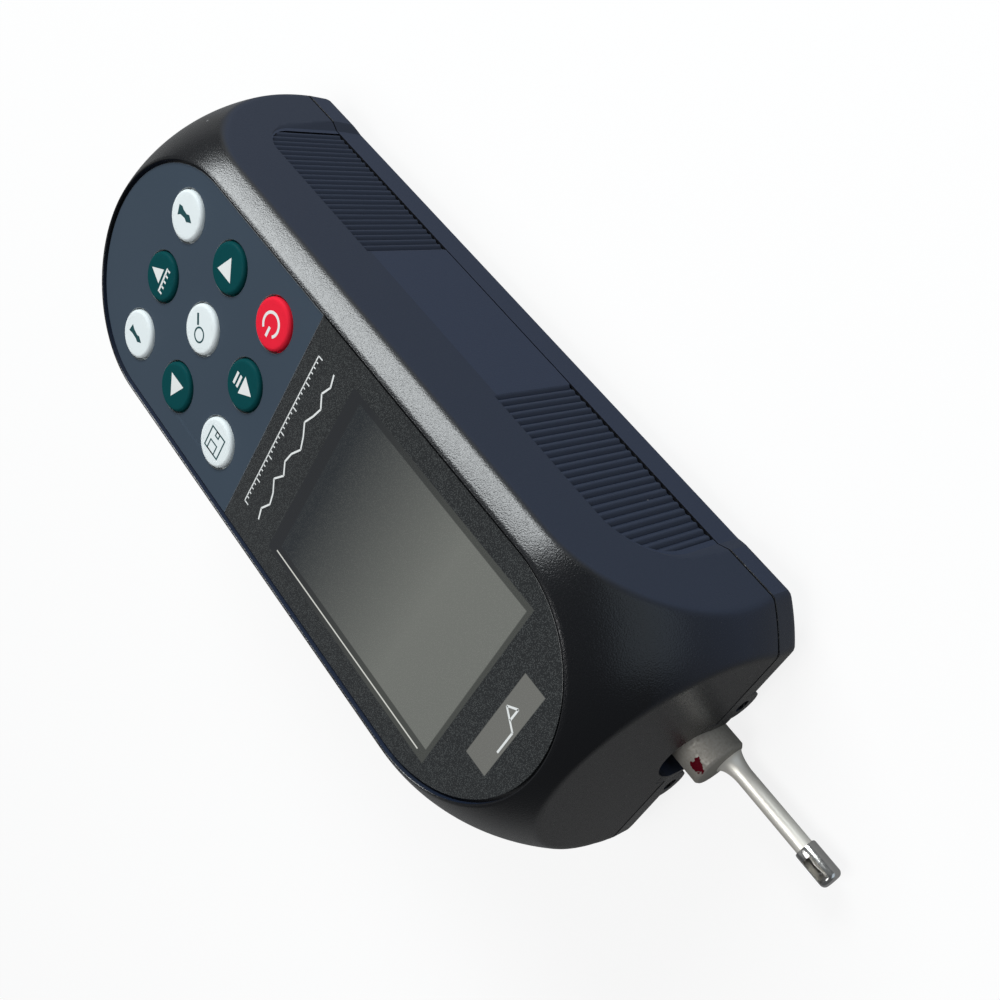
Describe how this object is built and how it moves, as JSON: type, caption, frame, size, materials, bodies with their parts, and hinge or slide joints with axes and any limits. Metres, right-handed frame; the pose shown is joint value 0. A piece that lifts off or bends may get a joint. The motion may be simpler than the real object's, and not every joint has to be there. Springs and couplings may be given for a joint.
{
  "type": "surface roughness tester",
  "caption": "Handheld surface roughness tester: two-part moulded housing with keypad and display, and a skidded stylus pickup drawn in by a lead screw traverse.",
  "frame": {"origin": "centre of the flat base face, under the middle of the housing", "axes": "+Z out of the display, +Y towards the pickup, +X across the housing"},
  "size_m": [0.057, 0.1653, 0.0416],
  "materials": {
    "shell_plastic": "satin, fine spark-eroded grain",
    "keypad_slate": "satin printed film",
    "window_black": "gloss",
    "key_white": "satin",
    "key_teal": "satin",
    "key_red": "satin",
    "display_grey": "polished",
    "frame_white": "matt",
    "silicone": "matt",
    "board_green": "satin",
    "battery_wrap": "gloss",
    "bright_steel": "ground",
    "milled_aluminium": "milled",
    "bearing_bronze": "turned",
    "contact_brass": "plated",
    "coil_copper": "wound",
    "blasted_steel": "bead blasted",
    "polished_rod": "polished",
    "head_chrome": "polished",
    "black_plastic": "matt",
    "black_steel": "black oxide"
  },
  "bodies": {
    "housing": {"front_shell": "shell_plastic", "back_cover": "shell_plastic", "keypad_panel": "keypad_slate", "display_window": "window_black", "display_frame": "frame_white", "display_glass": "display_grey", "key_mat": "silicone", "main_board": "board_green", "battery_pack": "battery_wrap", "charge_socket": "bright_steel", "drive_frame": "milled_aluminium", "guide_rods": "bright_steel", "screw_bearings": "bright_steel", "gear_motor": "bright_steel", "cover_screws": "black_steel", "board_screws": "bright_steel", "drive_screws": "bright_steel"},
    "drive_screw": {"lead_screw": "bright_steel", "shaft_coupling": "milled_aluminium", "motor_shaft": "bright_steel"},
    "traverse": {"carriage": "milled_aluminium", "guide_bushes": "bearing_bronze", "drive_nut": "bearing_bronze", "float_pin": "bright_steel"},
    "pickup": {"pickup_socket": "black_plastic", "contact_pins": "contact_brass", "pickup_collar": "blasted_steel", "sensing_coil": "coil_copper", "pickup_rod": "polished_rod", "skid_head": "head_chrome", "lever_pivot": "bright_steel"},
    "stylus": {"stylus_lever": "bright_steel", "stylus_tip": "black_steel"},
    "key_return": {"key_return": "key_white"},
    "key_down": {"key_down": "key_teal"},
    "key_enter": {"key_enter": "key_white"},
    "key_left": {"key_left": "key_teal"},
    "key_start": {"key_start": "key_white"},
    "key_right": {"key_right": "key_teal"},
    "key_power": {"key_power": "key_red"},
    "key_page": {"key_page": "key_teal"},
    "key_save": {"key_save": "key_white"}
  },
  "joints": [
    {"name": "key_return_press", "type": "slide", "parent": "housing", "child": "key_return", "axis": [0, 0, -1], "range_m": [0, 0.0004], "stiffness_N_per_m": 2500},
    {"name": "key_down_press", "type": "slide", "parent": "housing", "child": "key_down", "axis": [0, 0, -1], "range_m": [0, 0.0004], "stiffness_N_per_m": 2500},
    {"name": "key_enter_press", "type": "slide", "parent": "housing", "child": "key_enter", "axis": [0, 0, -1], "range_m": [0, 0.0004], "stiffness_N_per_m": 2500},
    {"name": "key_left_press", "type": "slide", "parent": "housing", "child": "key_left", "axis": [0, 0, -1], "range_m": [0, 0.0004], "stiffness_N_per_m": 2500},
    {"name": "key_start_press", "type": "slide", "parent": "housing", "child": "key_start", "axis": [0, 0, -1], "range_m": [0, 0.0004], "stiffness_N_per_m": 2500},
    {"name": "key_right_press", "type": "slide", "parent": "housing", "child": "key_right", "axis": [0, 0, -1], "range_m": [0, 0.0004], "stiffness_N_per_m": 2500},
    {"name": "key_power_press", "type": "slide", "parent": "housing", "child": "key_power", "axis": [0, 0, -1], "range_m": [0, 0.0004], "stiffness_N_per_m": 2500},
    {"name": "key_page_press", "type": "slide", "parent": "housing", "child": "key_page", "axis": [0, 0, -1], "range_m": [0, 0.0004], "stiffness_N_per_m": 2500},
    {"name": "key_save_press", "type": "slide", "parent": "housing", "child": "key_save", "axis": [0, 0, -1], "range_m": [0, 0.0004], "stiffness_N_per_m": 2500},
    {"name": "traverse_slide", "type": "slide", "parent": "housing", "child": "traverse", "axis": [0, 1, 0], "range_m": [-0.0175, 0]},
    {"name": "screw_spin", "type": "hinge", "parent": "housing", "child": "drive_screw", "pos_m": [0, 0, 0.0162], "axis": [0, 1, 0], "range_deg": [-1, 3151]},
    {"name": "pickup_float", "type": "hinge", "parent": "traverse", "child": "pickup", "pos_m": [0, 0.0315, 0.0068], "axis": [1, 0, 0], "range_deg": [-1.4, 1.6], "stiffness_Nm_per_rad": 2, "springref_deg": 0.11},
    {"name": "stylus_pivot", "type": "hinge", "parent": "pickup", "child": "stylus", "pos_m": [0, 0.0601, 0.0038], "axis": [1, 0, 0], "range_deg": [-0.4, 0.4], "stiffness_Nm_per_rad": 0.02}
  ],
  "couplings": [
    {"joint": "screw_spin", "follows": "traverse_slide", "rad_per_m": -3141.6}
  ]
}
